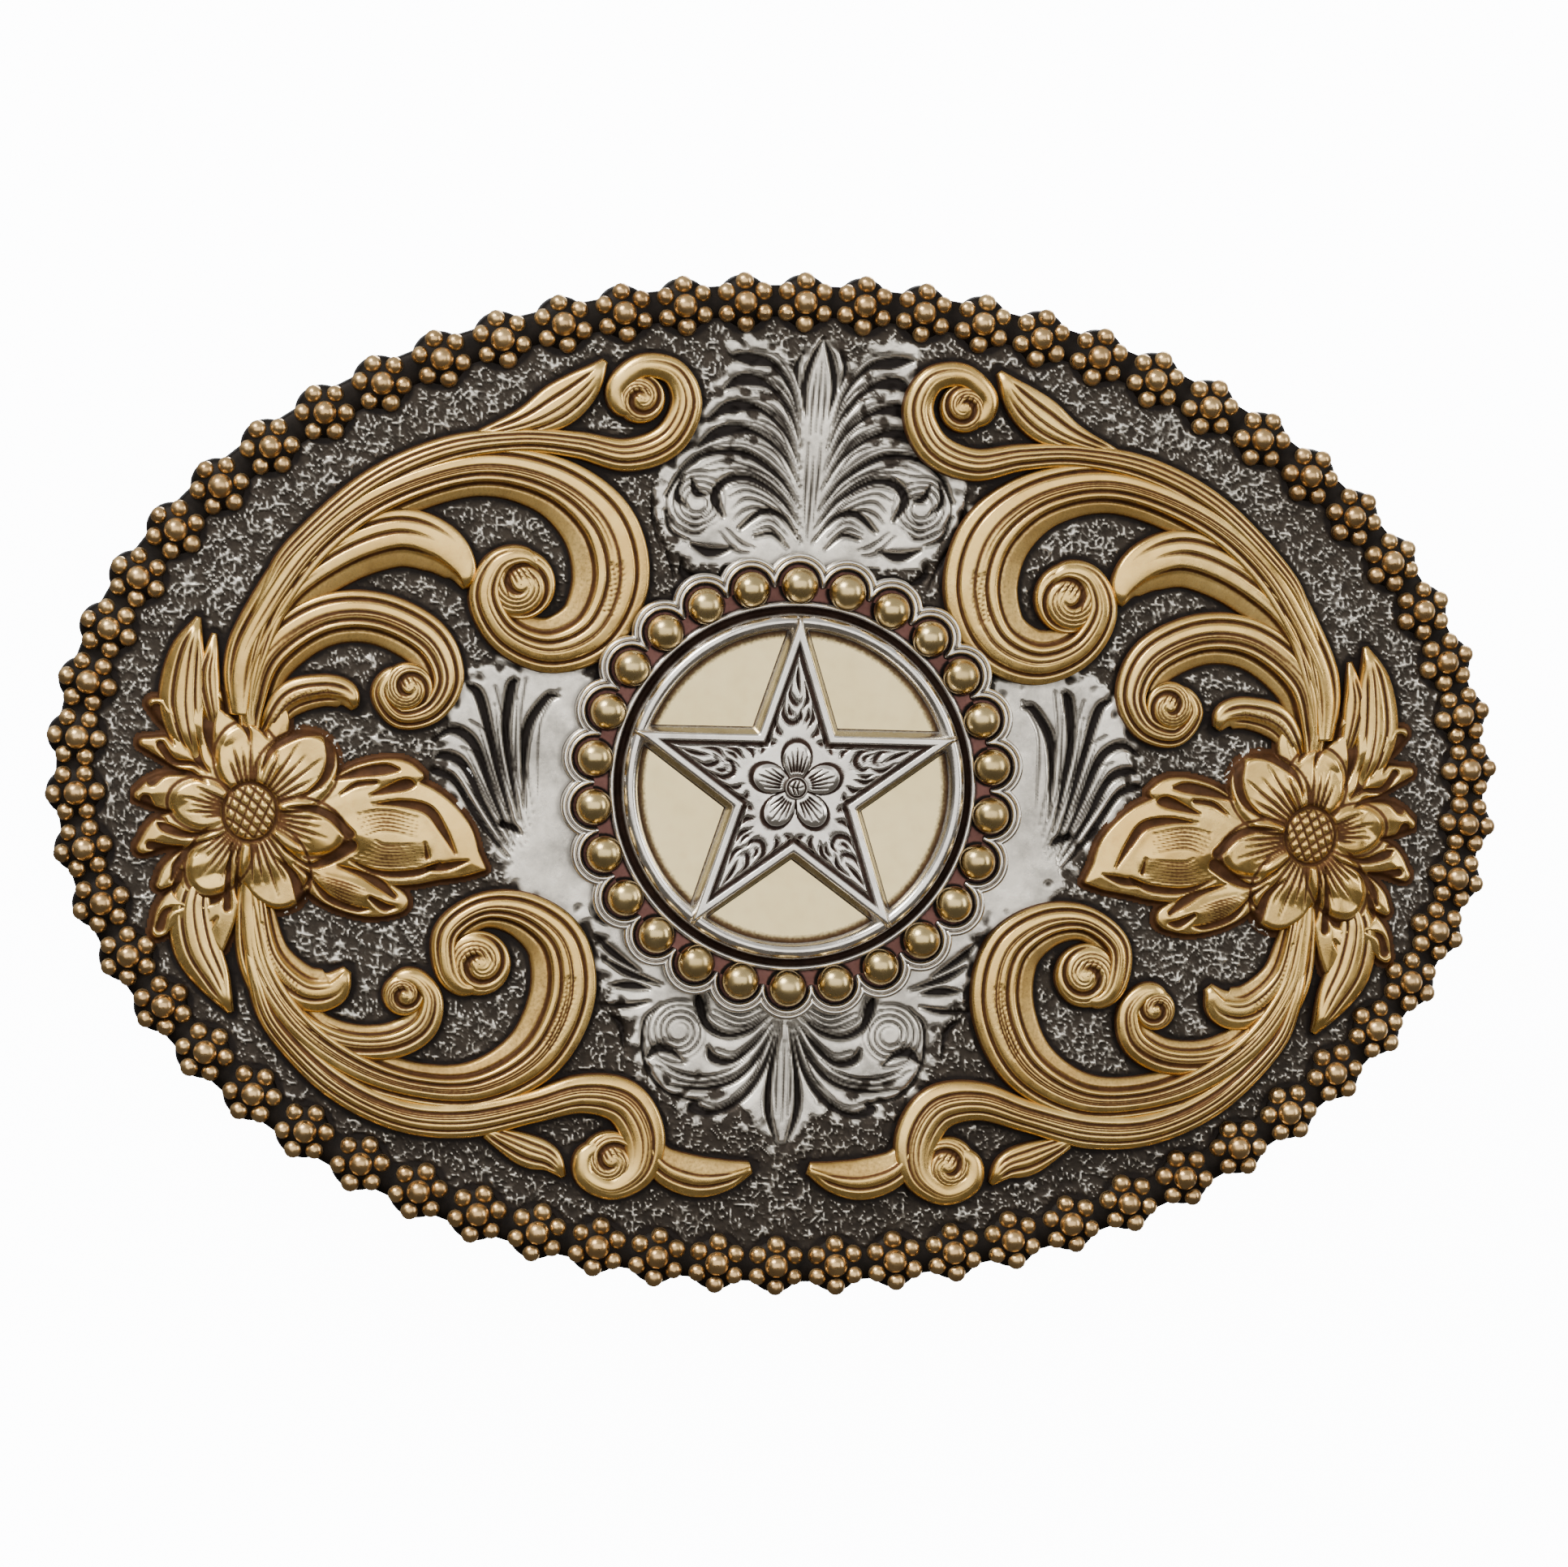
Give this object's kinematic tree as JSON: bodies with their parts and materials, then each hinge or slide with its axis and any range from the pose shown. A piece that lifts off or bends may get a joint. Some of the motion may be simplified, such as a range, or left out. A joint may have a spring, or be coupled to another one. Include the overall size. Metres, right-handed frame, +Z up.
{
  "type": "belt buckle",
  "caption": "Oval bent trophy belt buckle with a berry edge, gold scroll overlays and a star concho; the back has a hinged belt bail and a leaning hook peg.",
  "frame": {"origin": "middle of the bounding box, with the bail folded out against the plate", "axes": "+X along the width, +Z up as worn, -Y out of the decorated front, +Y towards the wearer"},
  "size_m": [0.1008, 0.0172, 0.0696],
  "materials": {
    "nickel_back": "satin",
    "engraved_silver": "antiqued, engraved and stippled",
    "antique_bronze": "antiqued, dark in the hollows",
    "antique_gold": "antiqued and hand engraved",
    "recess_enamel": "matt dark patina",
    "bright_silver": "polished, darkened in the hollows",
    "bead_brass": "polished",
    "mirror_gold": "mirror polished",
    "nickel_hardware": "satin"
  },
  "bodies": {
    "buckle": {"base_plate": "nickel_back", "face_sheet": "engraved_silver", "berry_rim": "antique_bronze", "rim_berries": "antique_bronze", "scroll_upper_left": "antique_gold", "scroll_upper_right": "antique_gold", "scroll_lower_left": "antique_gold", "scroll_lower_right": "antique_gold", "flower_left": "antique_gold", "flower_right": "antique_gold", "flower_centres": "antique_gold", "concho_base": "recess_enamel", "scalloped_wire": "bright_silver", "pearl_beads": "bead_brass", "ring_wire": "bright_silver", "star_ring": "bright_silver", "mirror_disc": "mirror_gold", "star": "bright_silver", "star_flower": "bright_silver", "concho_rivet": "bright_silver", "hinge_bracket": "nickel_hardware", "bracket_rivets": "nickel_hardware", "hinge_pin": "nickel_hardware", "hook_base": "nickel_hardware", "hook_rivets": "nickel_hardware", "hook_peg": "nickel_hardware"},
    "bail": {"bail_sleeve": "nickel_hardware", "bail_loop": "nickel_hardware"}
  },
  "joints": [
    {"name": "bail_hinge", "type": "hinge", "parent": "buckle", "child": "bail", "pos_m": [-0.018, 0.00145, 0], "axis": [0, 0, -1], "range_deg": [0, 170]}
  ]
}
